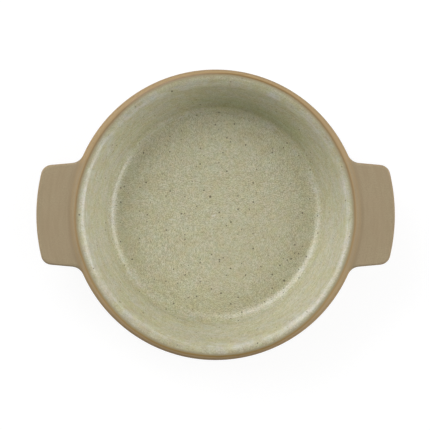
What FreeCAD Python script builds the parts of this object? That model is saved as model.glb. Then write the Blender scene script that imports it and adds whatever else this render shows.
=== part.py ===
"""Round stoneware au gratin dish with two tab handles, moulded in one piece. Millimetres, +Z up."""
import FreeCAD, Part
import math
import os

import Sketcher
from FreeCAD import Vector

NODE = "gratin_dish"

# Driving sizes in millimetres: alias, value and what it is.
SIZES = (
    ("rim_diameter", 160.0, "outermost circle of the rim"),
    ("handle_reach", 18.75, "how far the nose of each handle stands out beyond the rim"),
    ("height", 40.0, "from the table to the crest of the rim"),
    ("foot_diameter", 116.0, "outer edge of the ring that stands on the table"),
    ("foot_width", 6.0, "width of that ring"),
    ("foot_recess", 1.5, "how far the underside is hollowed inside the ring"),
    ("base_corner_radius", 7.0, "rounding from the foot ring into the outer wall"),
    ("lip_outer_radius", 3.0, "rounding from the crest of the rim to the outer wall"),
    ("lip_inner_radius", 7.0, "rounding from the crest of the rim to the inner wall"),
    ("floor_thickness", 4.5, "from the hollow underside to the floor of the dish"),
    ("floor_inset", 4.75, "from the outer edge of the foot in to where the flat floor ends"),
    ("floor_corner_radius", 7.5, "rounding from the floor into the inner wall"),
    ("handle_width", 55.0, "across a handle where its outer corners begin"),
    ("handle_flare", 5.2, "degrees by which each side of a handle spreads towards the rim"),
    ("handle_corner_radius", 6.0, "outer corners of a handle, seen from above"),
    ("handle_drop", 1.4, "how far the top of a handle lies below the crest of the rim"),
    ("handle_thickness", 8.0, "from the top of a handle to its underside"),
    ("handle_top_radius", 1.2, "rounding along the upper edge of a handle"),
    ("handle_under_radius", 3.0, "rounding along the lower edge of a handle"),
    ("handle_root_radius", 7.2, "blend all round a handle where it grows out of the wall"),
)

# How far the cutting profile of the cavity reaches above the crest of the rim.
CUT_ABOVE_RIM = 5.0
NEAR = 0.01


def make_sheet(doc):
    """Write the driving sizes into a sheet, one row for each, with the alias on the number."""
    sheet = doc.addObject("Spreadsheet::Sheet", "sizes")
    for row, (alias, value, meaning) in enumerate(SIZES, start=1):
        sheet.set("A%d" % row, alias)
        sheet.set("B%d" % row, str(value))
        sheet.setAlias("B%d" % row, alias)
        sheet.set("C%d" % row, meaning)
    doc.recompute()
    return sheet


def line(x0, y0, x1, y1):
    """A straight sketch edge from one point to another."""
    return Part.LineSegment(Vector(x0, y0, 0), Vector(x1, y1, 0))


def arc(centre_x, centre_y, radius, start, end):
    """A round sketch edge, anticlockwise between two angles in degrees."""
    circle = Part.Circle(Vector(centre_x, centre_y, 0), Vector(0, 0, 1), radius)
    return Part.ArcOfCircle(circle, math.radians(start), math.radians(end))


def origin_feature(body, role):
    """The plane or axis of a body's origin that plays a role, such as XY_Plane."""
    return [item for item in body.Origin.OriginFeatures if item.Role == role][0]


def new_sketch(body, name, plane):
    """An empty sketch on one of the origin planes of its body."""
    sketch = body.newObject("Sketcher::SketchObject", name)
    sketch.AttachmentSupport = (origin_feature(body, plane), [""])
    sketch.MapMode = "FlatFace"
    return sketch


def join_chain(sketch, kinds):
    """Join the end of each edge to the start of the next, the last to the first."""
    count = len(kinds)
    for index, kind in enumerate(kinds):
        sketch.addConstraint(Sketcher.Constraint(kind, index, 2, (index + 1) % count, 1))


def dimension(sketch, name, expression, kind, *where):
    """Add a named dimension that follows an expression in the sheet's sizes."""
    number = sketch.addConstraint(Sketcher.Constraint(kind, *where))
    sketch.renameConstraint(number, name)
    sketch.setExpression("Constraints." + name, expression)


def draw_outer_section(body, size):
    """Half section of the outer form, filled to the axis: base, corner, wall, lip and top."""
    foot_radius = size("foot_diameter") / 2
    corner = size("base_corner_radius")
    lip = size("lip_outer_radius")
    height = size("height")
    crest_radius = size("rim_diameter") / 2 - lip
    lean = math.degrees(math.atan2(crest_radius - foot_radius, height - lip))
    slant = math.radians(lean)
    sketch = new_sketch(body, "outer_section", "YZ_Plane")
    sketch.addGeometry([
        line(0, 0, foot_radius, 0),
        arc(foot_radius, corner, corner, -90, -lean),
        line(foot_radius + corner * math.cos(slant), corner - corner * math.sin(slant),
             crest_radius + lip * math.cos(slant), height - lip - lip * math.sin(slant)),
        arc(crest_radius, height - lip, lip, -lean, 90),
        line(crest_radius, height, 0, height),
        line(0, height, 0, 0),
    ], False)
    join_chain(sketch, ["Tangent", "Tangent", "Tangent", "Tangent", "Coincident", "Coincident"])
    sketch.addConstraint(Sketcher.Constraint("Coincident", 0, 1, -1, 1))
    sketch.addConstraint(Sketcher.Constraint("Horizontal", 0))
    sketch.addConstraint(Sketcher.Constraint("Horizontal", 4))
    sketch.addConstraint(Sketcher.Constraint("Vertical", 5))
    dimension(sketch, "foot_radius", "sizes.foot_diameter / 2", "DistanceX", 0, 1, 0, 2, foot_radius)
    dimension(sketch, "base_corner", "sizes.base_corner_radius", "Radius", 1, corner)
    dimension(sketch, "lip", "sizes.lip_outer_radius", "Radius", 3, lip)
    dimension(sketch, "crest_radius", "sizes.rim_diameter / 2 - sizes.lip_outer_radius",
              "DistanceX", -1, 1, 3, 3, crest_radius)
    dimension(sketch, "crest_height", "sizes.height", "DistanceY", 5, 2, 5, 1, height)
    return sketch


def draw_handle(body, size):
    """Plan of one handle: nose concentric with the rim, rounded corners, sides that flare inwards."""
    nose_radius = size("rim_diameter") / 2 + size("handle_reach")
    half_width = size("handle_width") / 2
    corner = size("handle_corner_radius")
    flare = size("handle_flare")
    slope = math.radians(flare)
    corner_y = half_width - corner * math.cos(slope)
    corner_x = math.sqrt((nose_radius - corner) ** 2 - corner_y ** 2)
    corner_angle = math.degrees(math.atan2(corner_y, corner_x))
    side_x = corner_x + corner * math.sin(slope)
    root_y = half_width + side_x * math.tan(slope)
    sketch = new_sketch(body, "handle_plan", "XY_Plane")
    sketch.setExpression("AttachmentOffset.Base.z",
                         "sizes.height - sizes.handle_drop - sizes.handle_thickness")
    sketch.addGeometry([
        arc(0, 0, nose_radius, -corner_angle, corner_angle),
        arc(corner_x, corner_y, corner, corner_angle, 90 - flare),
        line(side_x, half_width, 0, root_y),
        line(0, root_y, 0, -root_y),
        line(0, -root_y, side_x, -half_width),
        arc(corner_x, -corner_y, corner, flare - 90, -corner_angle),
    ], False)
    join_chain(sketch, ["Tangent", "Tangent", "Coincident", "Coincident", "Tangent", "Tangent"])
    sketch.addConstraint(Sketcher.Constraint("Coincident", 0, 3, -1, 1))
    sketch.addConstraint(Sketcher.Constraint("Symmetric", 2, 1, 4, 2, -1))
    sketch.addConstraint(Sketcher.Constraint("Symmetric", 2, 2, 4, 1, -1))
    sketch.addConstraint(Sketcher.Constraint("PointOnObject", 2, 2, -2))
    dimension(sketch, "nose_radius", "sizes.rim_diameter / 2 + sizes.handle_reach", "Radius", 0, nose_radius)
    dimension(sketch, "corner", "sizes.handle_corner_radius", "Radius", 1, corner)
    dimension(sketch, "width", "sizes.handle_width", "DistanceY", 4, 2, 2, 1, 2 * half_width)
    dimension(sketch, "flare", "180 - sizes.handle_flare", "Angle", 2, math.radians(180 - flare))
    return sketch


def draw_cavity_section(body, size):
    """Half section of the space inside the dish: floor, corner, wall and the inner side of the lip."""
    floor_radius = size("foot_diameter") / 2 - size("floor_inset")
    floor_height = size("foot_recess") + size("floor_thickness")
    corner = size("floor_corner_radius")
    lip = size("lip_inner_radius")
    height = size("height")
    crest_radius = size("rim_diameter") / 2 - size("lip_outer_radius")
    rise = height - lip - floor_height - corner
    run = crest_radius - floor_radius
    lean = math.degrees(math.atan2(run, rise) - math.asin((corner + lip) / math.hypot(run, rise)))
    slant = math.radians(lean)
    sketch = new_sketch(body, "cavity_section", "YZ_Plane")
    sketch.addGeometry([
        line(0, floor_height, floor_radius, floor_height),
        arc(floor_radius, floor_height + corner, corner, -90, -lean),
        line(floor_radius + corner * math.cos(slant), floor_height + corner - corner * math.sin(slant),
             crest_radius - lip * math.cos(slant), height - lip + lip * math.sin(slant)),
        arc(crest_radius, height - lip, lip, 90, 180 - lean),
        line(crest_radius, height, crest_radius, height + CUT_ABOVE_RIM),
        line(crest_radius, height + CUT_ABOVE_RIM, 0, height + CUT_ABOVE_RIM),
        line(0, height + CUT_ABOVE_RIM, 0, floor_height),
    ], False)
    joints = (("Tangent", 0, 2, 1, 1), ("Tangent", 1, 2, 2, 1), ("Tangent", 2, 2, 3, 2),
              ("Coincident", 3, 1, 4, 1), ("Coincident", 4, 2, 5, 1), ("Coincident", 5, 2, 6, 1),
              ("Coincident", 6, 2, 0, 1))
    for joint in joints:
        sketch.addConstraint(Sketcher.Constraint(*joint))
    sketch.addConstraint(Sketcher.Constraint("Horizontal", 0))
    sketch.addConstraint(Sketcher.Constraint("Vertical", 4))
    sketch.addConstraint(Sketcher.Constraint("Horizontal", 5))
    sketch.addConstraint(Sketcher.Constraint("Vertical", 3, 3, 3, 1))
    sketch.addConstraint(Sketcher.Constraint("PointOnObject", 5, 2, -2))
    sketch.addConstraint(Sketcher.Constraint("PointOnObject", 0, 1, -2))
    dimension(sketch, "floor_radius", "sizes.foot_diameter / 2 - sizes.floor_inset",
              "DistanceX", 0, 1, 0, 2, floor_radius)
    dimension(sketch, "floor_height", "sizes.foot_recess + sizes.floor_thickness",
              "DistanceY", -1, 1, 0, 1, floor_height)
    dimension(sketch, "floor_corner", "sizes.floor_corner_radius", "Radius", 1, corner)
    dimension(sketch, "lip", "sizes.lip_inner_radius", "Radius", 3, lip)
    dimension(sketch, "crest_radius", "sizes.rim_diameter / 2 - sizes.lip_outer_radius",
              "DistanceX", -1, 1, 3, 1, crest_radius)
    dimension(sketch, "crest_height", "sizes.height", "DistanceY", -1, 1, 3, 1, height)
    dimension(sketch, "cut_above_rim", str(CUT_ABOVE_RIM), "DistanceY", 4, 1, 4, 2, CUT_ABOVE_RIM)
    return sketch


def draw_recess_section(body, size):
    """Half section of the shallow hollow under the dish, with a wall that leans in at 45 degrees."""
    ring_inside = size("foot_diameter") / 2 - size("foot_width")
    depth = size("foot_recess")
    sketch = new_sketch(body, "recess_section", "YZ_Plane")
    sketch.addGeometry([
        line(0, 0, ring_inside, 0),
        line(ring_inside, 0, ring_inside - depth, depth),
        line(ring_inside - depth, depth, 0, depth),
        line(0, depth, 0, 0),
    ], False)
    join_chain(sketch, ["Coincident"] * 4)
    sketch.addConstraint(Sketcher.Constraint("Coincident", 0, 1, -1, 1))
    sketch.addConstraint(Sketcher.Constraint("Horizontal", 0))
    sketch.addConstraint(Sketcher.Constraint("Horizontal", 2))
    sketch.addConstraint(Sketcher.Constraint("Vertical", 3))
    dimension(sketch, "ring_inside", "sizes.foot_diameter / 2 - sizes.foot_width",
              "DistanceX", 0, 1, 0, 2, ring_inside)
    dimension(sketch, "depth", "sizes.foot_recess", "DistanceY", 1, 1, 1, 2, depth)
    dimension(sketch, "lean_run", "sizes.foot_recess", "DistanceX", 1, 2, 1, 1, depth)
    return sketch


def turn(body, kind, name, sketch):
    """Turn a half section once round the upright axis, to add or to remove."""
    feature = body.newObject(kind, name)
    feature.Profile = sketch
    feature.ReferenceAxis = (sketch, ["V_Axis"])
    feature.Angle = 360
    return feature


def round_edges(body, name, base, radius, chosen):
    """Round those edges of a feature for which chosen(middle point, lowest z, highest z) is true."""
    body.Document.recompute()
    names = []
    for index, edge in enumerate(base.Shape.Edges, start=1):
        middle = edge.valueAt((edge.FirstParameter + edge.LastParameter) / 2)
        if chosen(middle, edge.BoundBox.ZMin, edge.BoundBox.ZMax):
            names.append("Edge%d" % index)
    fillet = body.newObject("PartDesign::Fillet", name)
    fillet.Base = (base, names)
    fillet.setExpression("Radius", radius)
    body.Document.recompute()
    return fillet


def from_axis(point):
    """How far a point lies from the upright axis."""
    return math.hypot(point.x, point.y)


def make_dish(doc, size):
    """Outer form, the two handles and their blends, then the cavity and the hollow of the foot."""
    rim_radius = size("rim_diameter") / 2
    handle_top = size("height") - size("handle_drop")
    handle_bottom = handle_top - size("handle_thickness")
    body = doc.addObject("PartDesign::Body", NODE)
    body.Label = NODE
    turn(body, "PartDesign::Revolution", "outer_form", draw_outer_section(body, size))

    handle = body.newObject("PartDesign::Pad", "handle")
    handle.Profile = draw_handle(body, size)
    handle.setExpression("Length", "sizes.handle_thickness")
    doc.recompute()
    opposite = body.newObject("PartDesign::Mirrored", "opposite_handle")
    opposite.Originals = [handle]
    opposite.MirrorPlane = (origin_feature(body, "YZ_Plane"), [""])
    body.Tip = opposite

    def under_edge(middle, low, high):
        level = max(abs(low - handle_bottom), abs(high - handle_bottom)) < NEAR
        return level and from_axis(middle) > rim_radius

    def top_edge(middle, low, high):
        level = max(abs(low - handle_top), abs(high - handle_top)) < NEAR
        return level and from_axis(middle) > rim_radius

    def root_edge(middle, low, high):
        beside_handle = abs(middle.x) > abs(middle.y) and from_axis(middle) < rim_radius
        return beside_handle and low > handle_bottom - NEAR and high < handle_top + NEAR

    lower = round_edges(body, "handle_under_rounding", opposite, "sizes.handle_under_radius", under_edge)
    upper = round_edges(body, "handle_top_rounding", lower, "sizes.handle_top_radius", top_edge)
    round_edges(body, "handle_root_blend", upper, "sizes.handle_root_radius", root_edge)

    turn(body, "PartDesign::Groove", "cavity", draw_cavity_section(body, size))
    turn(body, "PartDesign::Groove", "foot_hollow", draw_recess_section(body, size))
    return body


def check_document(doc):
    """Stop if any object of the document has failed."""
    for item in doc.Objects:
        if "Invalid" in item.State or "Error" in item.State:
            raise RuntimeError("%s is %s" % (item.Name, item.State))


def check_solid(body):
    """Stop unless the body is one valid solid."""
    if body.Shape.isNull() or not body.Shape.isValid() or len(body.Shape.Solids) != 1:
        raise RuntimeError("%s is not one valid solid" % body.Label)


def main():
    os.makedirs("parts", exist_ok=True)
    doc = FreeCAD.newDocument("au_gratin_dish")
    sheet = make_sheet(doc)
    dish = make_dish(doc, sheet.get)
    doc.recompute()
    check_document(doc)
    check_solid(dish)
    dish.Shape.exportStep("parts/%s.step" % dish.Label)
    box = dish.Shape.optimalBoundingBox()
    print("%s: %.1f x %.1f x %.1f mm, %.1f cm3" % (dish.Label, box.XLength, box.YLength, box.ZLength,
                                                  dish.Shape.Volume / 1000))


main()
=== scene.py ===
"""Looks of a round stoneware au gratin dish: one mesh, speckled sage glaze inside and bare clay outside."""

import math
from types import SimpleNamespace

import bpy
import numpy as np
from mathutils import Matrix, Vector


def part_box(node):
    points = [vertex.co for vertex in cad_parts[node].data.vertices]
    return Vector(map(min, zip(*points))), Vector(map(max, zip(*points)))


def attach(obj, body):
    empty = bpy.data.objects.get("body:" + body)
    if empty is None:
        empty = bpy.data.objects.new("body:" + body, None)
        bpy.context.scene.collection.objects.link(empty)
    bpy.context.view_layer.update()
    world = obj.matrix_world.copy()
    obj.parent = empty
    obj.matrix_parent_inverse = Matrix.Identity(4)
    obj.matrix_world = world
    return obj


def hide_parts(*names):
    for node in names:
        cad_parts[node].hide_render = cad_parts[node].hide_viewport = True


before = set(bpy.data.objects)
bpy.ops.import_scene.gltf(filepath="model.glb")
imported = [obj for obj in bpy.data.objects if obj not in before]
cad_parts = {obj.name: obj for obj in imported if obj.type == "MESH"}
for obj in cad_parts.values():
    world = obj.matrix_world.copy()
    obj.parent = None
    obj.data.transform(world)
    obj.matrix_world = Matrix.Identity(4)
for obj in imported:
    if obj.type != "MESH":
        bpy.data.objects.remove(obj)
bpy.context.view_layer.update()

NODE = "gratin_dish"
MM = 0.001

# Overall sizes come from the solid, in millimetres.
LOW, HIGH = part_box(NODE)
RIM_RADIUS = (HIGH[1] - LOW[1]) / 2 / MM
NOSE_RADIUS = (HIGH[0] - LOW[0]) / 2 / MM
HEIGHT = HIGH[2] / MM

# Section of the bowl, in millimetres, as in the solid.
LIP_OUTER = 3.0
LIP_INNER = 7.0
FOOT_RADIUS = 58.0
FOOT_WIDTH = 6.0
FOOT_RECESS = 1.5
FOOT_EDGE = 0.8
BASE_CORNER = 7.0
FLOOR_LEVEL = 6.0
FLOOR_RADIUS = 53.25
FLOOR_CORNER = 7.5
CREST_RADIUS = RIM_RADIUS - LIP_OUTER
LIP_LEVEL = HEIGHT - LIP_OUTER

# Handles, in millimetres and radians, as in the solid.
HANDLE_HALF_WIDTH = 27.5
HANDLE_FLARE = math.radians(5.2)
HANDLE_CORNER = 6.0
HANDLE_TOP = HEIGHT - 1.4
HANDLE_BOTTOM = HANDLE_TOP - 8.0
HANDLE_TOP_EDGE = 1.2
HANDLE_UNDER_EDGE = 3.0
HANDLE_ROOT = 7.2

# Grid of the mesh: columns round the dish, and rows along each stretch of the section.
COLUMNS = 520
FLOOR_ROWS = 17
CORNER_ROWS = 12
WALL_ROWS = 32
LIP_ROWS = 9
EDGE_ROWS = 28
TOP_ROWS = 26
UNDER_ROWS = 30
LOW_WALL_ROWS = 9
BASE_ROWS = 16
# Share of the rows beside the glaze edge that lie on the glaze, and how much they crowd towards the edge.
GLAZED_SHARE = 2 / 3
EDGE_CROWDING = 1.3
# Spacing of the columns at the crest beside the middle of a handle, as a share of even spacing.
MIDDLE_SPACING = 0.39

# Radius of the fan of faces in the middle of the floor, in millimetres.
FLOOR_FAN = 1.5
# Distances in from the crest where the rows along the glaze edge start, and where they end on the lip's
# outer side, beside the handles and away from them.
EDGE_START = 4.5
LIP_START = -1.5
LIP_START_AWAY = -2.6
# Sines of the direction from the axis between which one of these ends becomes the other.
AWAY_FROM_HANDLE = (0.52, 0.8)
# Level below which the outside is a plain turned form.
JOIN_LEVEL = 20.0

# Traces down the outside: their step in millimetres, and passes that settle the rolled ball.
TRACE_STEP = 0.25
BALL_STEPS = 4
# Millimetres of a path that a turn of one radian counts for, which draws points closer together there.
TURN_WEIGHT = 4.0
# Points along each rounding of a section.
ARC_POINTS = 90
# Slopes nearer to parallel than this are kept apart, and a length below this counts as none.
PARALLEL = 1e-3
TINY = 1e-9

# Glaze: where it ends, counted in from the crest and so just past it, its thickness, and the distance over
# which it grows to about two thirds of that, in millimetres.
GLAZE_EDGE = -0.76
GLAZE_THICKNESS = 0.22
GLAZE_TAPER = 0.9
# How its end wavers round the dish: waves in one turn, size in millimetres and phase in radians.
GLAZE_WAVES = ((1, 0.13, 0.9), (2, 0.52, 0.0), (3, 0.19, 0.76), (4, 0.1, -2.0), (6, 0.14, 3.14),
               (11, 0.05, 0.5), (17, 0.04, 2.0), (29, 0.025, 1.2), (47, 0.015, 0.0))
# Where it runs further out or, with a negative reach, stops short: direction and spread in radians, and
# reach in millimetres.
GLAZE_RUNS = ((-1.4, 0.5, 0.25), (-0.8, 0.35, -0.3), (-2.55, 0.3, -0.25), (2.25, 0.5, -0.3))
# Stands for the distance to the glaze edge on all the clay below the lip.
BARE = -50.0

# Distances from the crest over which the clay gives way to the glaze's thickness, and the rings begin.
CLAY_GIVES_WAY = (2.0, 8.0)
RINGS_BEGIN = (1.0, 6.0)
# The crest sinks by this much, and less down to this level, which keeps the glaze inside the solid's box.
CREST_SINK = 0.2
SINK_FROM = 20.0

# Rings that the forming tool left, in millimetres: heights, and where wall, shoulder and floor have them.
WALL_RING = 0.018
FLOOR_RING = 0.012
SHOULDER = 0.14
SHOULDER_PLACE = 17.5
SHOULDER_SPREAD = 3.2
WALL_RINGS_FROM = (7.0, 11.0)
WALL_RINGS_TO = (33.0, 37.0)
FLOOR_RINGS_FROM = (48.0, 56.0)


def paint(red, green, blue):
    """Linear colour of a screen colour given from 0 to 255."""
    def linear(value):
        share = value / 255
        return share / 12.92 if share <= 0.04045 else ((share + 0.055) / 1.055) ** 2.4
    return (linear(red), linear(green), linear(blue), 1.0)


# Tone of the glaze down the section, by distance from the crest in millimetres, with painted light and
# shade in it.
WALL_TONES_AND_PAINTED_LIGHT = (
    (0.0, paint(144, 139, 112)),
    (2.0, paint(165, 168, 151)),
    # Painted highlight: the pale, cool tones from 4.5 to 6 mm stand in for the highlight along the lip.
    (4.5, paint(195, 200, 195)),
    (6.0, paint(195, 200, 192)),
    (9.0, paint(193, 198, 186)),
    (16.4, paint(187, 192, 177)),
    (21.0, paint(200, 206, 195)),
    (31.0, paint(199, 204, 189)),
    # Painted shade: the darker dip at 33.8 mm stands in for shade low on the wall.
    (33.8, paint(188, 193, 173)),
    (36.5, paint(193, 199, 177)),
    (40.0, paint(196, 202, 186)),
)

# Glaze of the floor.
SAGE_DARK = paint(167, 170, 140)
SAGE_PALE = paint(198, 198, 169)
SAGE_DRIFT = paint(181, 179, 144)

# Rings, streaks and mottling of the glaze on the wall.
RING_PALE = paint(192, 188, 176)
STREAK = paint(166, 165, 126)
MOTTLE = paint(208, 204, 187)

# Tints, which multiply the glaze under them.
VEIL_TINT = paint(240, 240, 236)
CLOUD_TINT = paint(252, 251, 232)
# Painted shade: darker and greener, on the lower wall at the back.
BACK_SHADE_TINT = paint(232, 240, 222)
# Painted shade at the floor's edge by the wall.
FLOOR_SHADE_TINT = paint(243, 242, 232)
WARM_TINT = paint(251, 247, 225)
BLUSH_TINT = paint(255, 242, 243)
GRIT_TINT = paint(235, 235, 233)

# Grains, specks and smears in the glaze, and its burnt edge.
GRIT_PALE = paint(255, 255, 228)
FRECKLE = paint(106, 97, 50)
IRON = paint(66, 56, 12)
LARGE_IRON = paint(70, 60, 20)
SMEAR = paint(214, 213, 202)
OLIVE = paint(143, 131, 96)
BURNT_FRONT = paint(152, 124, 72)
BURNT_BACK = paint(128, 102, 58)

# Bare clay: its own tones, then the rim with painted shade where it turns out, the crease beside a handle
# with painted shade, the handle's lower edge and the stain, which is partly painted light.
CLAY_DARK = paint(148, 133, 105)
CLAY_PALE = paint(162, 147, 119)
CLAY_CLOUD = paint(156, 138, 111)
CLAY_STREAK = paint(143, 126, 98)
RIM_FLASH = paint(170, 145, 108)
# Painted shade where the rim turns out.
RIM_TURN_SHADE = paint(150, 124, 82)
# Painted shade for the crease beside a handle.
CREASE_SHADE = paint(138, 119, 91)
EDGE_PALE = paint(168, 139, 101)
STAIN = paint(158, 129, 84)
CLAY_IRON = paint(88, 72, 51)

# Pale smears in the glaze of the floor: middle, half sizes, turn and strength.
SMEARS = (
    ((-1.0, -0.4, 6.2), (1.7, 0.7, 3.0), 0.4, 0.6),
    ((-24.3, -2.6, 6.2), (2.8, 0.8, 3.0), -0.1, 0.35),
)

# Direction of the back of the dish, where the lower wall is painted darker and greener as painted shade.
SHADE_HEADING = math.radians(70)

# Offset in millimetres at which a noise looks unlike the same noise without it.
ELSEWHERE = (0.0, 0.0, 300.0)
# Radius of the circle that stands for the way round the dish in the noise that draws rings, in millimetres.
RING_REACH = 9.0
# Heights of the ripples in the glaze and of the grit in the clay, in metres.
RIPPLE_HEIGHT = 0.08 * MM
GRIT_HEIGHT = 0.12 * MM

# The largest iron specks in the glaze: middle and half width, in millimetres, and the half depth of all.
LARGE_SPECKS = (
    ((-3.0, 10.0, 6.0), 0.95),
    ((8.5, -4.0, 6.0), 0.7),
    ((3.0, -43.5, 6.0), 0.75),
    ((-38.5, 18.0, 6.0), 0.7),
    ((38.0, -36.5, 6.0), 0.95),
    ((-24.0, 68.0, 38.0), 0.8),
    ((-75.0, 0.0, 39.5), 0.75),
)
SPECK_DEPTH = 3.0


def smooth(value, low, high):
    """0 below low, 1 above high and an even rise between."""
    share = np.clip((value - low) / (high - low), 0.0, 1.0)
    return share * share * (3 - 2 * share)


def wall_lean(run, rise, lower_radius, upper_radius):
    """Lean from the vertical of a wall between roundings, the upper negative where both bend one way."""
    return math.atan2(run, rise) - math.asin((lower_radius + upper_radius) / math.hypot(run, rise))


OUTER_LEAN = wall_lean(CREST_RADIUS - FOOT_RADIUS, LIP_LEVEL - BASE_CORNER, BASE_CORNER, -LIP_OUTER)
INNER_LEAN = wall_lean(CREST_RADIUS - FLOOR_RADIUS, HEIGHT - LIP_INNER - FLOOR_LEVEL - FLOOR_CORNER,
                       FLOOR_CORNER, LIP_INNER)


def outer_distance(radius, level):
    """Distance from the outer form, turned about the axis: leaning wall, lip and flat top."""
    across = radius - CREST_RADIUS
    above = level - LIP_LEVEL
    wall = across * math.cos(OUTER_LEAN) - above * math.sin(OUTER_LEAN) - LIP_OUTER
    top = above - LIP_OUTER
    past_wall = across * math.sin(OUTER_LEAN) + above * math.cos(OUTER_LEAN) >= 0
    lip = np.hypot(across, above) - LIP_OUTER
    beside = np.where(past_wall, lip, wall)
    return np.where(across >= 0, beside, np.maximum(wall, top))


def plan_distance(x, y):
    """Distance from the outline of a handle seen from above: round nose, corners and flared sides."""
    x = np.abs(x)
    y = np.abs(y)
    corner_y = HANDLE_HALF_WIDTH - HANDLE_CORNER * math.cos(HANDLE_FLARE)
    corner_x = math.sqrt((NOSE_RADIUS - HANDLE_CORNER) ** 2 - corner_y ** 2)
    angle = math.atan2(corner_y, corner_x)
    across = x - corner_x
    along = y - corner_y
    nose = np.hypot(x, y) - NOSE_RADIUS
    side = across * math.sin(HANDLE_FLARE) + along * math.cos(HANDLE_FLARE) - HANDLE_CORNER
    corner = np.hypot(across, along) - HANDLE_CORNER
    before_corner = along * math.cos(angle) - across * math.sin(angle) < 0
    past_corner = along * math.sin(HANDLE_FLARE) - across * math.cos(HANDLE_FLARE) > 0
    return np.where(before_corner, nose, np.where(past_corner, side, corner))


def rounded_edge(across, above, radius):
    """Distance from a solid with one rounded edge, from the distances to its two faces."""
    inner_across = across + radius
    inner_above = above + radius
    beyond = np.hypot(np.maximum(inner_across, 0), np.maximum(inner_above, 0))
    return beyond + np.minimum(np.maximum(inner_across, inner_above), 0) - radius


def handle_distance(x, y, level):
    """Distance from the two handles, with their upper and lower edges rounded."""
    plan = plan_distance(x, y)
    upper = rounded_edge(plan, level - HANDLE_TOP, HANDLE_TOP_EDGE)
    lower = rounded_edge(plan, HANDLE_BOTTOM - level, HANDLE_UNDER_EDGE)
    return np.maximum(upper, lower)


def measured(field, place):
    """A field at places given as rows x, y and level, and its slope along each of the three."""
    tiny = 1e-4
    value = field(*place)
    steps = tiny * np.eye(3)
    slope = np.array([(field(*(place + step[:, None])) - value) / tiny for step in steps])
    return value, slope


def outside(place):
    """Distance from the whole outside and its slope, with a ball rolled where form and handles meet."""
    def form(x, y, level):
        return outer_distance(np.hypot(x, y), level)

    def shares(to_form, to_handle, form_slope, handle_slope):
        cosine = np.sum(form_slope * handle_slope, axis=0)
        spare = np.maximum(1 - cosine ** 2, PARALLEL)
        return (to_form - to_handle * cosine) / spare, (to_handle - to_form * cosine) / spare

    form_value, form_slope = measured(form, place)
    handle_value, handle_slope = measured(handle_distance, place)
    form_nearer = form_value < handle_value
    value = np.where(form_nearer, form_value, handle_value)
    slope = np.where(form_nearer, form_slope, handle_slope)

    centre = place
    to_form, to_handle = HANDLE_ROOT - form_value, HANDLE_ROOT - handle_value
    slopes = form_slope, handle_slope
    for _ in range(BALL_STEPS):
        on_form, on_handle = shares(to_form, to_handle, *slopes)
        centre = centre + on_form * slopes[0] + on_handle * slopes[1]
        form_there, form_slope_there = measured(form, centre)
        handle_there, handle_slope_there = measured(handle_distance, centre)
        to_form, to_handle = HANDLE_ROOT - form_there, HANDLE_ROOT - handle_there
        slopes = form_slope_there, handle_slope_there
    away = centre - place
    on_form, on_handle = shares(np.sum(away * slopes[0], axis=0), np.sum(away * slopes[1], axis=0), *slopes)
    reach = np.linalg.norm(away, axis=0)
    near = (form_value < HANDLE_ROOT) & (handle_value < HANDLE_ROOT)
    on_ball = near & (on_form > 0) & (on_handle > 0)
    return np.where(on_ball, HANDLE_ROOT - reach, value), np.where(on_ball, away / reach, slope)


def follow(field, start_a, start_b, turn, stop):
    """Walk along the line where a field of two coordinates is zero, until every walker has met stop."""
    a = np.array(start_a, float)
    b = np.array(start_b, float)
    path = [np.stack([a, b], axis=-1)]
    walking = np.ones(a.shape, bool)
    while walking.any():
        for pace in (TRACE_STEP, 0.0, 0.0):
            value, slope_a, slope_b = field(a, b)
            steep = np.hypot(slope_a, slope_b)
            step_a = turn * pace * slope_b / steep - value * slope_a / steep ** 2
            step_b = -turn * pace * slope_a / steep - value * slope_b / steep ** 2
            a = np.where(walking, a + step_a, a)
            b = np.where(walking, b + step_b, b)
        path.append(np.stack([a, b], axis=-1))
        walking = walking & ~stop(a, b)
    return np.array(path)


def cut_at(path, level):
    """End a path of (along, level) points exactly where it passes a level."""
    for before, after in zip(path[:-1], path[1:]):
        if before[1] > level >= after[1]:
            share = (before[1] - level) / (before[1] - after[1])
            break
    count = int(np.argmax(path[:, 1] <= level))
    return np.vstack([path[:count], before + share * (after - before)])


def spread(path, rows):
    """Points along a path, closer together where it turns, with the first and last kept."""
    steps = np.diff(path, axis=0)
    lengths = np.hypot(steps[:, 0], steps[:, 1])
    kept = lengths > TINY
    headings = np.unwrap(np.arctan2(steps[kept, 1], steps[kept, 0]))
    turns = np.zeros(len(lengths))
    turns[np.flatnonzero(kept)[1:]] = np.abs(np.diff(headings))
    travelled = np.concatenate([[0.0], np.cumsum(lengths + TURN_WEIGHT * turns)])
    wanted = np.linspace(0, travelled[-1], rows + 1)
    return np.stack([np.interp(wanted, travelled, values) for values in path.T], axis=-1)


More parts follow.
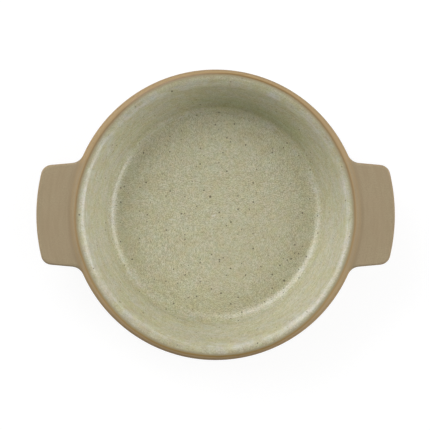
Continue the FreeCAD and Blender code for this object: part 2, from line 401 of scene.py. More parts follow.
def make_columns():
    """For every column: its point on the outline and its direction from the axis at the crest."""
    def outline(x, y):
        value, slope = outside(np.array([x, y, np.full_like(x, LIP_LEVEL)]))
        return value, slope[0], slope[1]

    quarter = COLUMNS // 4
    walk = follow(outline, [NOSE_RADIUS], [0.0], -1, lambda x, y: x < 0)[:, 0]
    lengths = np.concatenate([[0.0], np.cumsum(np.hypot(*np.diff(walk, axis=0).T))])
    full = np.interp(0.0, -walk[-2:, 0], lengths[-2:])
    wanted = np.linspace(0, full, quarter + 1)
    x = np.interp(wanted, lengths, walk[:, 0])
    y = np.interp(wanted, lengths, walk[:, 1])
    angle = np.arctan2(y, x)
    root = np.argmax(np.hypot(x, y) < RIM_RADIUS + 0.01)
    share = wanted[:root] / wanted[root]
    angle[:root] = angle[root] * (MIDDLE_SPACING * share + (1 - MIDDLE_SPACING) * share ** 3)

    index = np.arange(COLUMNS)
    side = index // quarter
    part = np.where(side % 2 == 0, index % quarter, quarter - index % quarter)
    sign_x = np.where((side == 0) | (side == 3), 1.0, -1.0)
    sign_y = np.where(side < 2, 1.0, -1.0)
    turned = np.arctan2(sign_y * np.sin(angle[part]), sign_x * np.cos(angle[part]))
    return sign_x * x[part], sign_y * y[part], turned


def trace_side(start_x, start_y, start_level, aim_x, aim_y, end_level, rows, from_aim):
    """Rows of points down the outside, each column in the upright plane through its start and its aim."""
    run = np.hypot(aim_x - start_x, aim_y - start_y)
    way_x = (aim_x - start_x) / run
    way_y = (aim_y - start_y) / run
    origin_x, origin_y, first = start_x, start_y, np.zeros_like(run)
    if from_aim:
        origin_x, origin_y, first = aim_x, aim_y, run
        way_x, way_y = -way_x, -way_y

    def section(along, level):
        value, slope = outside(np.array([origin_x + along * way_x, origin_y + along * way_y, level]))
        return value, slope[0] * way_x + slope[1] * way_y, slope[2]

    paths = follow(section, first, start_level, 1, lambda along, level: level <= end_level)
    grid = np.zeros((rows + 1, len(run), 3))
    for column in range(len(run)):
        points = spread(cut_at(paths[:, column], end_level), rows)
        grid[:, column, 0] = origin_x[column] + points[:, 0] * way_x[column]
        grid[:, column, 1] = origin_y[column] + points[:, 0] * way_y[column]
        grid[:, column, 2] = points[:, 1]
    return grid


def rounded_section(corners, radii):
    """Closely spaced points along straight runs whose corners are rounded."""
    points = [np.array(corners[0], float)]
    for before, corner, after, radius in zip(corners[:-2], corners[1:-1], corners[2:], radii):
        back = np.subtract(before, corner) / math.dist(before, corner)
        ahead = np.subtract(after, corner) / math.dist(after, corner)
        half = math.acos(float(np.dot(back, ahead))) / 2
        middle = (back + ahead) / np.linalg.norm(back + ahead)
        centre = np.array(corner) + middle * radius / math.sin(half)
        first = np.array(corner) + back * radius / math.tan(half) - centre
        sweep = math.pi - 2 * half
        turn = np.sign(first[0] * ahead[1] - first[1] * ahead[0])
        for angle in np.linspace(0, sweep, ARC_POINTS) * turn:
            cosine, sine = math.cos(angle), math.sin(angle)
            points.append(centre + np.array([first[0] * cosine - first[1] * sine,
                                             first[0] * sine + first[1] * cosine]))
    points.append(np.array(corners[-1], float))
    return np.array(points)


def along_section(section, distances):
    """Radius and level at distances along a section."""
    lengths = np.concatenate([[0.0], np.cumsum(np.hypot(*np.diff(section, axis=0).T))])
    return np.interp(distances, lengths, section[:, 0]), np.interp(distances, lengths, section[:, 1])


def inner_section():
    """Section from the crest down the inner lip and wall and across the floor to the axis."""
    low_corner = FLOOR_RADIUS + FLOOR_CORNER * math.tan(math.radians(45) - INNER_LEAN / 2)
    high_corner = CREST_RADIUS - LIP_INNER * math.tan(math.radians(45) - INNER_LEAN / 2)
    corners = [(CREST_RADIUS, HEIGHT), (high_corner, HEIGHT), (low_corner, FLOOR_LEVEL), (0.0, FLOOR_LEVEL)]
    return rounded_section(corners, [LIP_INNER, FLOOR_CORNER])


def lower_section():
    """Section from the outer wall at the joining level down to the foot and under it to the axis."""
    wall_radius = wall_radius_at(JOIN_LEVEL)
    base = FOOT_RADIUS + BASE_CORNER * math.tan(math.radians(45) - OUTER_LEAN / 2)
    ring_inside = FOOT_RADIUS - FOOT_WIDTH
    corners = [(wall_radius, JOIN_LEVEL), (base, 0.0), (ring_inside, 0.0),
               (ring_inside - FOOT_RECESS, FOOT_RECESS), (0.0, FOOT_RECESS)]
    return rounded_section(corners, [BASE_CORNER, FOOT_EDGE, FOOT_EDGE])


def wall_radius_at(level):
    """Radius of the outer wall at a level."""
    lip_end = CREST_RADIUS + LIP_OUTER / math.cos(OUTER_LEAN)
    return lip_end - (LIP_LEVEL - level) * math.tan(OUTER_LEAN)


def glaze_edge(turned):
    """Where the glaze ends, measured along the section inwards from the crest, round the dish."""
    waver = sum(size * np.cos(count * turned - phase) for count, size, phase in GLAZE_WAVES)
    runs = sum(reach * np.exp(-((turned - towards) / width) ** 2) for towards, width, reach in GLAZE_RUNS)
    return GLAZE_EDGE + waver - runs


def lip_start(turned):
    """Where the rows of the inside end on the outer side of the lip: further out away from the handles."""
    away = smooth(np.abs(np.sin(turned)), *AWAY_FROM_HANDLE)
    return LIP_START + (LIP_START_AWAY - LIP_START) * away


def inner_grid(turned):
    """Rows from the floor's middle to the lip's outer side, and distances to crest and glaze edge."""
    section = inner_section()
    arc = math.radians(90) - INNER_LEAN
    lip_end = LIP_INNER * arc
    total = float(np.hypot(*np.diff(section, axis=0).T).sum())
    corner_start = total - FLOOR_RADIUS - FLOOR_CORNER * arc
    stretches = ((total - FLOOR_FAN, total - FLOOR_RADIUS, FLOOR_ROWS),
                 (total - FLOOR_RADIUS, corner_start, CORNER_ROWS),
                 (corner_start, lip_end, WALL_ROWS),
                 (lip_end, EDGE_START, LIP_ROWS))
    rows = np.concatenate([np.linspace(*stretch, endpoint=False) for stretch in stretches])
    edge = glaze_edge(turned)
    inside_rows = int(EDGE_ROWS * GLAZED_SHARE)
    inwards = np.linspace(1, 0, inside_rows, endpoint=False)[:, None]
    outwards = np.linspace(0, -1, EDGE_ROWS - inside_rows + 1)[:, None]
    near = np.vstack([edge + (EDGE_START - edge) * inwards ** EDGE_CROWDING,
                      edge + (edge - lip_start(turned)) * outwards])
    distance = np.vstack([np.repeat(rows[:, None], len(turned), axis=1), near])
    radius, level = along_section(section, np.maximum(distance, 0))
    beyond = np.minimum(distance, 0) / LIP_OUTER
    radius = radius - LIP_OUTER * np.sin(beyond)
    level = level - LIP_OUTER * (1 - np.cos(beyond))
    grid = np.stack([radius * np.cos(turned), radius * np.sin(turned), level], axis=-1)
    return grid, distance, distance - edge


def lower_grid(turned):
    """Rows from the outer wall at the joining level to the middle of the hollow underside."""
    section = lower_section()
    wall = math.dist(section[0], section[1])
    rest = spread(section[1:], BASE_ROWS)[1:-1]
    wall_rows = np.linspace(0, wall, LOW_WALL_ROWS + 1)[1:]
    radius, level = along_section(section, wall_rows)
    radius = np.concatenate([radius, rest[:, 0]])[:, None]
    level = np.concatenate([level, rest[:, 1]])[:, None]
    return np.stack([radius * np.cos(turned), radius * np.sin(turned), level + 0 * turned], axis=-1)


def grid_normals(grid):
    """Outward normals of a closed grid of rows and columns."""
    along = np.gradient(grid, axis=0)
    round_about = np.roll(grid, -1, axis=1) - np.roll(grid, 1, axis=1)
    normals = np.cross(along, round_about)
    normals /= np.linalg.norm(normals, axis=-1, keepdims=True)
    return normals


def ridges(distance, turned):
    """Soft rings that the forming tool left in the wall, in millimetres."""
    wobble = 0.5 * np.sin(turned + 0.8) + 0.3 * np.sin(3 * turned + 2.0)
    fine = np.sin(distance * 1.9 + wobble) + 0.7 * np.sin(distance * 1.13 + 2.1 - wobble)
    on_wall = smooth(distance, *WALL_RINGS_FROM) * (1 - smooth(distance, *WALL_RINGS_TO))
    shoulder = np.exp(-((distance - SHOULDER_PLACE) / SHOULDER_SPREAD) ** 2)
    on_floor = smooth(distance, *FLOOR_RINGS_FROM)
    return WALL_RING * fine * on_wall + SHOULDER * shoulder + FLOOR_RING * np.sin(distance * 0.9) * on_floor


def whole_grid():
    """Rows from the middle of the floor to that of the underside, their distances and their directions."""
    outline_x, outline_y, turned = make_columns()
    inner, distance, inside_edge = inner_grid(turned)
    upper = trace_side(*inner[-1].T, outline_x, outline_y, LIP_LEVEL, TOP_ROWS, False)
    join_radius = wall_radius_at(JOIN_LEVEL)
    join_x, join_y = join_radius * np.cos(turned), join_radius * np.sin(turned)
    under = trace_side(*upper[-1].T, join_x, join_y, JOIN_LEVEL, UNDER_ROWS, True)
    grid = np.concatenate([inner, upper[1:], under[1:], lower_grid(turned)])
    outer_rows = len(grid) - len(inner)
    distance = np.vstack([distance, np.full((outer_rows, COLUMNS), LIP_START)])
    inside_edge = np.vstack([inside_edge, np.full((outer_rows, COLUMNS), BARE)])
    return grid, distance, inside_edge, turned


def glazed_surface(grid, distance, inside_edge, turned):
    """The grid with the glaze's thickness and the rings on it, and the crest sunk to make room for them."""
    coat = GLAZE_THICKNESS * (1 - np.exp(-np.maximum(inside_edge, 0) / GLAZE_TAPER))
    clay_depth = GLAZE_THICKNESS * smooth(distance, *CLAY_GIVES_WAY)
    lift = coat - clay_depth + ridges(distance, turned) * smooth(distance, *RINGS_BEGIN)
    grid = grid + grid_normals(grid) * lift[..., None]
    grid[..., 2] -= CREST_SINK * (np.maximum(grid[..., 2] - SINK_FROM, 0) / (HEIGHT - SINK_FROM)) ** 2
    return grid


def grid_faces(rows, edge_row):
    """Faces between the rows, and fans round the two middle points, each with whether it is glazed."""
    faces = []
    glazed = []
    for row in range(rows - 1):
        here = row * COLUMNS
        above = here + COLUMNS
        for column in range(COLUMNS):
            beside = (column + 1) % COLUMNS
            faces.append((here + column, above + column, above + beside, here + beside))
        glazed.extend([row < edge_row] * COLUMNS)
    last = (rows - 1) * COLUMNS
    for column in range(COLUMNS):
        beside = (column + 1) % COLUMNS
        faces.append((rows * COLUMNS, column, beside))
        faces.append((rows * COLUMNS + 1, last + beside, last + column))
        glazed.extend([True, False])
    return faces, glazed


def add_layer(mesh, name, values, middle_in, middle_under):
    """A value for every point of the grid and for its two middle points, for the materials to read."""
    layer = mesh.attributes.new(name, "FLOAT", "POINT")
    layer.data.foreach_set("value", np.concatenate([values.ravel(), (middle_in, middle_under)]))


def make_dish_mesh():
    """The whole surface as one closed mesh, with the materials' places on it."""
    grid, distance, inside_edge, turned = whole_grid()
    grid = glazed_surface(grid, distance, inside_edge, turned)
    middle_in = (0.0, 0.0, float(grid[0, :, 2].mean()))
    middle_under = (0.0, 0.0, FOOT_RECESS)
    points = np.vstack([grid.reshape(-1, 3), middle_in, middle_under]) * MM
    edge_row = int(np.argmax(inside_edge[:, 0] <= TINY))
    faces, glazed = grid_faces(len(grid), edge_row)

    mesh = bpy.data.meshes.new("glazed_dish")
    mesh.from_pydata(points.tolist(), [], faces)
    mesh.update()
    mesh.polygons.foreach_set("use_smooth", [True] * len(faces))
    mesh.polygons.foreach_set("material_index", [0 if wet else 1 for wet in glazed])
    centre = float(distance.max())
    add_layer(mesh, "inside_edge", inside_edge, centre, BARE)
    add_layer(mesh, "from_crest", distance, centre, 0.0)
    return mesh


def add_node(tree, kind, settings=None, inputs=None):
    """A shader node with its settings, and its inputs set to a value or joined to another node's output."""
    node = tree.nodes.new(kind)
    for name, value in (settings or {}).items():
        setattr(node, name, value)
    for name, value in (inputs or {}).items():
        if isinstance(value, bpy.types.NodeSocket):
            tree.links.new(value, node.inputs[name])
        else:
            node.inputs[name].default_value = value
    return node


def calculate(tree, operation, *values):
    """The result of a maths node."""
    node = add_node(tree, "ShaderNodeMath", {"operation": operation}, dict(enumerate(values)))
    return node.outputs[0]


def times(tree, first, second):
    """Product of two values."""
    return calculate(tree, "MULTIPLY", first, second)


def calculate_vector(tree, operation, inputs):
    """A vector maths node."""
    return add_node(tree, "ShaderNodeVectorMath", {"operation": operation}, inputs)


def attribute(tree, name):
    """A value that the mesh keeps for each point."""
    return add_node(tree, "ShaderNodeAttribute", {"attribute_name": name}).outputs["Fac"]


def noise(tree, vector, size, detail=3.0, roughness=0.5):
    """Soft noise whose patches are about size millimetres across."""
    node = add_node(tree, "ShaderNodeTexNoise", None,
                    {"Vector": vector, "Scale": 1 / size, "Detail": detail, "Roughness": roughness})
    return node.outputs[0]


def ramp(tree, value, low, high, low_value=0.0, high_value=1.0):
    """Smooth step of a value between two limits."""
    node = add_node(tree, "ShaderNodeMapRange", {"interpolation_type": "SMOOTHSTEP"},
                    {"Value": value, "From Min": low, "From Max": high,
                     "To Min": low_value, "To Max": high_value})
    return node.outputs[0]


def mix(tree, share, first, second, mode="MIX"):
    """Mix of two colours."""
    node = add_node(tree, "ShaderNodeMix", {"data_type": "RGBA", "blend_type": mode},
                    {0: share, 6: first, 7: second})
    return node.outputs[2]


def tinted(tree, share, colour, tint):
    """A colour multiplied by a tint where share is 1."""
    return mix(tree, share, colour, mix(tree, 1.0, colour, tint, "MULTIPLY"))


def specks(tree, vector, spacing, largest, share):
    """1 in round specks strewn about a spacing apart, of mixed sizes, and 0 elsewhere."""
    cells = add_node(tree, "ShaderNodeTexVoronoi", {"feature": "F1"},
                     {"Vector": vector, "Scale": 1 / spacing})
    lot = add_node(tree, "ShaderNodeSeparateColor", None, {"Color": cells.outputs["Color"]}).outputs[0]
    without = calculate(tree, "SUBTRACT", 1.0, share)
    radius = ramp(tree, lot, without, 1.0, 0.0, largest / spacing)
    core = times(tree, radius, 0.5)
    disc = ramp(tree, cells.outputs["Distance"], core, radius, 1.0, 0.0)
    on = calculate(tree, "GREATER_THAN", radius, 0.1 * largest / spacing)
    return times(tree, disc, on)


def spot(tree, vector, middle, size, turn=0.0):
    """1 in a soft oval spot of the given half sizes, and 0 elsewhere."""
    inside = add_node(tree, "ShaderNodeMapping", {"vector_type": "TEXTURE"},
                      {"Vector": vector, "Location": middle, "Rotation": (0.0, 0.0, turn), "Scale": size})
    from_middle = calculate_vector(tree, "LENGTH", {0: inside.outputs[0]}).outputs["Value"]
    return ramp(tree, from_middle, 1.0, 0.3)


def tones(tree, value, stops):
    """Colour that changes evenly with a value between stops, each a value and a colour."""
    first, last = stops[0][0], stops[-1][0]
    limits = {"Value": value, "From Min": first, "From Max": last}
    share = add_node(tree, "ShaderNodeMapRange", None, limits).outputs[0]
    node = add_node(tree, "ShaderNodeValToRGB", None, {"Fac": share})
    elements = node.color_ramp.elements
    while len(elements) < len(stops):
        elements.new(0.5)
    for element, (place, colour) in zip(elements, stops):
        element.position = (place - first) / (last - first)
        element.color = colour
    return node.outputs[0]


def locate(tree):
    """Where a point of the dish is, in millimetres. On rings, noise is drawn out round the dish."""
    metres = add_node(tree, "ShaderNodeTexCoord").outputs["Object"]
    place = calculate_vector(tree, "SCALE", {0: metres, "Scale": 1 / MM}).outputs[0]
    parts = add_node(tree, "ShaderNodeSeparateXYZ", None, {"Vector": place}).outputs
    flat = add_node(tree, "ShaderNodeCombineXYZ", None, {"X": parts["X"], "Y": parts["Y"]}).outputs[0]
    radius = calculate_vector(tree, "LENGTH", {0: flat}).outputs["Value"]
    heading = calculate_vector(tree, "NORMALIZE", {0: flat}).outputs[0]
    around = calculate_vector(tree, "SCALE", {0: heading, "Scale": RING_REACH}).outputs[0]
    section = calculate(tree, "ADD", radius, parts["Z"])
    lifted = add_node(tree, "ShaderNodeCombineXYZ", None, {"Z": section}).outputs[0]
    rings = calculate_vector(tree, "ADD", {0: around, 1: lifted}).outputs[0]
    return SimpleNamespace(place=place, radius=radius, to_back=parts["Y"], level=parts["Z"], rings=rings,
                           inside_edge=attribute(tree, "inside_edge"))


def start_material(name):
    """A new node material: its tree, its shader and where a point of the dish is."""
    material = bpy.data.materials.new(name)
    material.use_nodes = True
    tree = material.node_tree
    return material, tree, tree.nodes["Principled BSDF"], locate(tree)


def floor_glaze(tree, at, grain, patches):
    """Grainy sage of the floor with darker drifts, and painted shade darkening it towards the wall."""
    sage = mix(tree, ramp(tree, grain, 0.34, 0.68), SAGE_DARK, SAGE_PALE)
    drifted = mix(tree, ramp(tree, patches, 0.35, 0.68, 0.0, 0.4), sage, SAGE_DRIFT)
    # Painted shade at the floor's edge, darker towards the wall.
    return tinted(tree, ramp(tree, at.radius, 38.0, 53.0), drifted, FLOOR_SHADE_TINT)


def wall_glaze(tree, at, grain, patches):
    """Tones of the wall, painted light among them, with faint rings, streaks and mottling, and painted
    shade low down at the back.
    """
    bands = noise(tree, at.rings, 3.4, 2.0)
    streaks = noise(tree, at.rings, 1.1, 2.0)
    veil = noise(tree, at.elsewhere, 2.6, 2.0, 0.6)
    # Wall tones, with the painted highlight on the lip and painted shade low on the wall.
    wall = tones(tree, at.down, WALL_TONES_AND_PAINTED_LIGHT)
    ringed = mix(tree, ramp(tree, bands, 0.3, 0.7, 0.0, 0.6), wall, mix(tree, 0.5, wall, RING_PALE))
    streaked = mix(tree, ramp(tree, streaks, 0.3, 0.7, 0.0, 0.5), ringed, STREAK)
    veiled = tinted(tree, ramp(tree, veil, 0.32, 0.68), streaked, VEIL_TINT)
    below_lip = ramp(tree, at.down, 5.0, 14.0, 0.55, 1.0)
    dappled = times(tree, ramp(tree, grain, 0.42, 0.68, 0.0, 0.5), below_lip)
    mottled = mix(tree, dappled, veiled, MOTTLE)
    clouded = tinted(tree, ramp(tree, patches, 0.36, 0.64, 0.0, 0.8), mottled, CLOUD_TINT)

    # Painted shade on the lower wall at the back: darker and greener.
    way = (math.cos(SHADE_HEADING), math.sin(SHADE_HEADING), 0.0)
    along_way = calculate_vector(tree, "DOT_PRODUCT", {0: at.place, 1: way}).outputs["Value"]
    low_down = times(tree, ramp(tree, at.down, 17.0, 27.0), ramp(tree, at.down, 39.0, 32.0))
    back_shade = times(tree, ramp(tree, along_way, 49.0, 61.0), low_down)
    return tinted(tree, back_shade, clouded, BACK_SHADE_TINT)


def clear_glaze(tree, at, grain):
    """Glaze of wall and floor without specks: warm and pink in patches, gritty, and calmer on the lip."""
    patches = noise(tree, at.place, 12.0, 2.0)
    warmth = noise(tree, at.place, 4.8, 3.0, 0.7)
    blush = noise(tree, at.elsewhere, 4.6, 3.0, 0.75)
    fine = noise(tree, at.place, 0.55, 2.0, 0.6)
    wall = wall_glaze(tree, at, grain, patches)
    floor = floor_glaze(tree, at, grain, patches)
    body = mix(tree, ramp(tree, at.down, 38.5, 45.0), wall, floor)
    warmed = tinted(tree, ramp(tree, warmth, 0.28, 0.72), body, WARM_TINT)
    blushed = tinted(tree, ramp(tree, blush, 0.28, 0.72), warmed, BLUSH_TINT)
    dark_grit = mix(tree, 1.0, blushed, GRIT_TINT, "MULTIPLY")
    pale_grit = mix(tree, 0.14, blushed, GRIT_PALE)
    gritty = mix(tree, ramp(tree, fine, 0.36, 0.64), dark_grit, pale_grit)
    return mix(tree, ramp(tree, at.down, 20.0, 6.0, 0.0, 0.5), gritty, blushed)


def with_specks(tree, at, glaze):
    """Glaze with strewn freckles and iron specks, fewer on the wall, and with smears and large specks."""
    on_wall = (FLOOR_LEVEL + 2.0, FLOOR_LEVEL + 8.0)
    freckles = specks(tree, at.place, 1.2, 0.34, ramp(tree, at.level, *on_wall, 0.78, 0.5))
    iron = specks(tree, at.place, 2.1, 0.66, ramp(tree, at.level, *on_wall, 0.37, 0.16))
    dotted = mix(tree, times(tree, freckles, 0.6), glaze, FRECKLE)
    dotted = mix(tree, times(tree, iron, 0.78), dotted, IRON)
    for middle, size, turn, strength in SMEARS:
        smear = spot(tree, at.place, middle, size, turn)
        dotted = mix(tree, times(tree, smear, strength), dotted, SMEAR)
    for middle, half in LARGE_SPECKS:
        speck = spot(tree, at.place, middle, (half, half, SPECK_DEPTH))
        dotted = mix(tree, times(tree, speck, 0.85), dotted, LARGE_IRON)
    return dotted


def with_burnt_edge(tree, at, glaze):
    """Glaze that thins to olive and then to a wavering brown line along its edge, darker at the back."""
    wander = calculate(tree, "SUBTRACT", noise(tree, at.place, 1.6, 2.0), 0.5)
    from_edge = calculate(tree, "ADD", at.inside_edge, times(tree, wander, 0.6))
    thinned = mix(tree, ramp(tree, from_edge, 0.95, 2.5), OLIVE, glaze)
    burnt = mix(tree, ramp(tree, at.to_back, -60.0, 60.0), BURNT_FRONT, BURNT_BACK)
    return mix(tree, ramp(tree, from_edge, 0.55, 1.25), burnt, thinned)


def glaze_material():
    """Satin sage glaze, mottled, with iron specks, that breaks to brown along its edge."""
    material, tree, shader, at = start_material("sage_glaze")
    at.down = attribute(tree, "from_crest")
    at.elsewhere = calculate_vector(tree, "ADD", {0: at.place, 1: ELSEWHERE}).outputs[0]
    grain = noise(tree, at.place, 1.1, 3.0, 0.6)
    specked = with_specks(tree, at, clear_glaze(tree, at, grain))
    tree.links.new(with_burnt_edge(tree, at, specked), shader.inputs["Base Color"])

    tree.links.new(ramp(tree, grain, 0.3, 0.7, 0.46, 0.56), shader.inputs["Roughness"])
    shader.inputs["IOR"].default_value = 1.5
    shader.inputs["Coat Weight"].default_value = 1.0
    shader.inputs["Coat Roughness"].default_value = 0.2
    shader.inputs["Coat IOR"].default_value = 1.53
    ripple = noise(tree, at.place, 2.4, 2.0)
    height = calculate(tree, "ADD", times(tree, ripple, 0.8), times(tree, grain, 0.15))
    calm_on_lip = ramp(tree, at.down, 3.0, 12.0, 0.07, 0.25)
    bump = add_node(tree, "ShaderNodeBump", None,
                    {"Strength": calm_on_lip, "Distance": RIPPLE_HEIGHT, "Height": height})
    tree.links.new(bump.outputs[0], shader.inputs["Normal"])
    tree.links.new(bump.outputs[0], shader.inputs["Coat Normal"])
    return material


def plain_clay(tree, at, grit):
    """Gritty clay, softly clouded and faintly streaked round the dish."""
    clouds = noise(tree, at.place, 11.0, 3.0)
    wiped = noise(tree, at.rings, 1.8, 2.0)
    clay = mix(tree, ramp(tree, grit, 0.3, 0.7), CLAY_DARK, CLAY_PALE)
    clouded = mix(tree, ramp(tree, clouds, 0.35, 0.7, 0.0, 0.5), clay, CLAY_CLOUD)
    return mix(tree, ramp(tree, wiped, 0.35, 0.7, 0.0, 0.35), clouded, CLAY_STREAK)


def with_rim(tree, at, clay):
    """Clay flashed warm along the rim, mostly away from the handles, with painted shade, darker and
    browner, where it turns out.
    """
    inside_rim = ramp(tree, at.radius, RIM_RADIUS + 0.6, RIM_RADIUS - 0.6)
    on_rim = times(tree, inside_rim, ramp(tree, at.level, HEIGHT - 6.0, HEIGHT - 3.0))
    flash = times(tree, on_rim, ramp(tree, at.off_handle, 0.0, 1.0, 0.12, 0.8))
    flashed = mix(tree, flash, clay, RIM_FLASH)
    # Painted shade where the rim turns down on the outside.
    turned_out_shade = times(tree, inside_rim, ramp(tree, at.level, HEIGHT - 0.5, HEIGHT - 1.4, 0.0, 0.45))
    return mix(tree, turned_out_shade, flashed, RIM_TURN_SHADE)


def with_handles(tree, at, clay):
    """Clay with painted shade darkening the crease where a handle meets the rim, and a paler lower edge on
    the handles.
    """
    on_handle = calculate(tree, "SUBTRACT", 1.0, at.off_handle)
    # Painted shade in the crease where a handle meets the rim.
    crease_shade = times(tree, ramp(tree, at.radius, RIM_RADIUS - 0.4, RIM_RADIUS + 0.6),
                   ramp(tree, at.radius, RIM_RADIUS + 2.4, RIM_RADIUS + 0.9))
    crease_shaded = mix(tree, times(tree, times(tree, crease_shade, on_handle), 0.4), clay, CREASE_SHADE)
    turned_down = times(tree, ramp(tree, at.level, HANDLE_TOP - 0.1, HANDLE_TOP - 1.0),
                        ramp(tree, at.radius, RIM_RADIUS + 3.0, RIM_RADIUS + 7.0))
    return mix(tree, times(tree, turned_down, 0.5), crease_shaded, EDGE_PALE)


def clay_material():
    """Bare fired stoneware: matt, finely gritty, warmer along the rim and stained beside the glaze, the
    stain weaker at the front as painted light.
    """
    material, tree, shader, at = start_material("bare_clay")
    from_middle = calculate(tree, "ABSOLUTE", at.to_back)
    at.off_handle = ramp(tree, from_middle, HANDLE_HALF_WIDTH - 3.5, HANDLE_HALF_WIDTH + 6.5)
    grit = noise(tree, at.place, 0.7, 4.0, 0.65)
    shaped = with_handles(tree, at, with_rim(tree, at, plain_clay(tree, at, grit)))
    beside_glaze = ramp(tree, at.inside_edge, -0.9, -0.1)
    # The stain is weaker towards the front, which paints light on the front of the rim.
    stain_with_painted_light = times(tree, beside_glaze, ramp(tree, at.to_back, -70.0, 30.0, 0.3, 0.75))
    stained_and_lit = mix(tree, stain_with_painted_light, shaped, STAIN)
    iron = specks(tree, at.place, 2.2, 0.2, 0.4)
    dotted = mix(tree, times(tree, iron, 0.45), stained_and_lit, CLAY_IRON)
    tree.links.new(dotted, shader.inputs["Base Color"])

    tree.links.new(ramp(tree, grit, 0.3, 0.7, 0.78, 0.92), shader.inputs["Roughness"])
    shader.inputs["Specular IOR Level"].default_value = 0.35
    height = calculate(tree, "ADD", grit, times(tree, noise(tree, at.place, 0.35, 2.0), 0.5))
    bump = add_node(tree, "ShaderNodeBump", None,
                    {"Strength": 0.5, "Distance": GRIT_HEIGHT, "Height": height})
    tree.links.new(bump.outputs[0], shader.inputs["Normal"])
    return material


def make_dish():
    """The dish in place of its solid."""
    mesh = make_dish_mesh()
    mesh.materials.append(glaze_material())
    mesh.materials.append(clay_material())
    dish = bpy.data.objects.new("glazed_dish", mesh)
    bpy.context.scene.collection.objects.link(dish)
    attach(dish, "root")
    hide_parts(NODE)
    return dish


# Floor: half its side in metres, its grey to the light, and its grey and glow to camera and reflections.
FLOOR_HALF = 4.0
FLOOR_GREY = 0.6
SEEN_GREY = 0.16
SEEN_GLOW = 0.88


def grey(level):
    """A neutral colour."""
    return (level, level, level, 1.0)


def floor_material():
    """Pale matt floor that the camera sees as white with a soft shadow."""
    material = bpy.data.materials.new("white_sweep")
    material.use_nodes = True
    tree = material.node_tree
    tree.nodes.clear()
    rays = add_node(tree, "ShaderNodeLightPath")
    seen = calculate(tree, "MAXIMUM", rays.outputs["Is Camera Ray"], rays.outputs["Is Glossy Ray"])
    matt = add_node(tree, "ShaderNodeBsdfDiffuse", None, {"Color": grey(FLOOR_GREY)}).outputs[0]
    dim = add_node(tree, "ShaderNodeBsdfDiffuse", None, {"Color": grey(SEEN_GREY)}).outputs[0]
    glow = add_node(tree, "ShaderNodeEmission", None,
                    {"Color": grey(1.0), "Strength": SEEN_GLOW}).outputs[0]
    bright = add_node(tree, "ShaderNodeAddShader", None, {0: dim, 1: glow}).outputs[0]
    chosen = add_node(tree, "ShaderNodeMixShader", None, {0: seen, 1: matt, 2: bright}).outputs[0]
    add_node(tree, "ShaderNodeOutputMaterial", None, {"Surface": chosen})
    return material


def make_floor():
    """A wide flat floor under the foot of the dish."""
    corners = [(FLOOR_HALF * x, FLOOR_HALF * y, 0) for x, y in ((-1, -1), (1, -1), (1, 1), (-1, 1))]
    mesh = bpy.data.meshes.new("floor")
    mesh.from_pydata(corners, [], [(0, 1, 2, 3)])
    mesh.materials.append(floor_material())
    floor = bpy.data.objects.new("floor", mesh)
    bpy.context.scene.collection.objects.link(floor)


# Soft boxes: name, azimuth and height in degrees, width and depth in metres, and strength in watts.
LAMPS = (
    ("key", 114, 36, 0.9, 1.05, 6.2),
    ("key_left", 149, 36, 0.9, 1.05, 7.6),
    ("key_high", 130, 58, 0.7, 0.6, 0.8),
    ("right", -2, 33, 1.45, 0.8, 10.9),
    ("right_high", 0, 58, 0.7, 0.6, 0.8),
    ("left", 180, 33, 0.9, 0.8, 2.6),
    ("above", 90, 88, 1.6, 1.6, 5.3),
    ("low_left", 180, 12, 0.9, 0.35, 2.0),
    ("low_key", 130, 12, 0.9, 0.35, 1.8),
    ("low_back", 45, 12, 0.9, 0.35, 1.6),
    ("low_right", 0, 12, 0.9, 0.35, 2.6),
    ("low_front", -45, 12, 0.9, 0.35, 1.35),
)
# How far they all stand from the middle of the dish, in metres.
LAMP_DISTANCE = 1.4


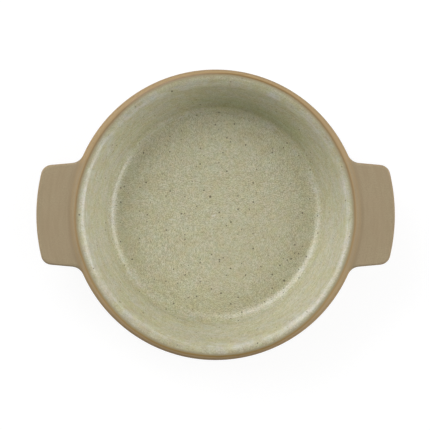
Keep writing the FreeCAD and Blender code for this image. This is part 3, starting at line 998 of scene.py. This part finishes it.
def make_lamps():
    """Soft boxes round the dish, each facing its middle."""
    middle = Vector((0, 0, HEIGHT * MM / 2))
    for name, azimuth, height, width, depth, strength in LAMPS:
        turn = math.radians(azimuth)
        rise = math.radians(height)
        way = Vector((math.cos(turn) * math.cos(rise), math.sin(turn) * math.cos(rise), math.sin(rise)))
        light = bpy.data.lights.new(name, "AREA")
        light.shape = "RECTANGLE"
        light.size = width
        light.size_y = depth
        light.energy = strength
        lamp = bpy.data.objects.new(name, light)
        lamp.location = middle + way * LAMP_DISTANCE
        lamp.rotation_euler = way.to_track_quat("Z", "Y").to_euler()
        bpy.context.scene.collection.objects.link(lamp)


def make_world():
    """White to the camera and dark to the dish, so that the lamps alone light it."""
    world = bpy.data.worlds.new("studio")
    bpy.context.scene.world = world
    world.use_nodes = True
    tree = world.node_tree
    tree.nodes.clear()
    rays = add_node(tree, "ShaderNodeLightPath")
    dark = add_node(tree, "ShaderNodeBackground", None, {"Color": grey(1.0), "Strength": 0.0}).outputs[0]
    white = add_node(tree, "ShaderNodeBackground", None, {"Color": grey(1.0), "Strength": 1.0}).outputs[0]
    seen = rays.outputs["Is Camera Ray"]
    chosen = add_node(tree, "ShaderNodeMixShader", None, {0: seen, 1: dark, 2: white}).outputs[0]
    add_node(tree, "ShaderNodeOutputWorld", None, {"Surface": chosen})


# The photograph's frame: its width in metres at the rim and in pixels, and how many pixels the middle of
# the dish is right of and above the middle of the frame.
FRAME_WIDTH = 0.2366
FRAME_PIXELS = 430
DISH_RIGHT = 0.6
DISH_UP = 0.2
# Height of the camera above the rim in metres, and width of its sensor in millimetres.
CAMERA_HEIGHT = 4.0
SENSOR = 36.0


def make_camera():
    """Camera straight above the dish."""
    camera = bpy.data.cameras.new("overhead")
    camera.sensor_width = SENSOR
    camera.lens = SENSOR * CAMERA_HEIGHT / FRAME_WIDTH
    pixel = FRAME_WIDTH / FRAME_PIXELS
    eye = bpy.data.objects.new("overhead", camera)
    eye.location = (-DISH_RIGHT * pixel, -DISH_UP * pixel, HEIGHT * MM + CAMERA_HEIGHT)
    bpy.context.scene.collection.objects.link(eye)
    bpy.context.scene.camera = eye


bpy.context.scene.view_settings.view_transform = "Standard"
make_dish()
make_floor()
make_lamps()
make_world()
make_camera()
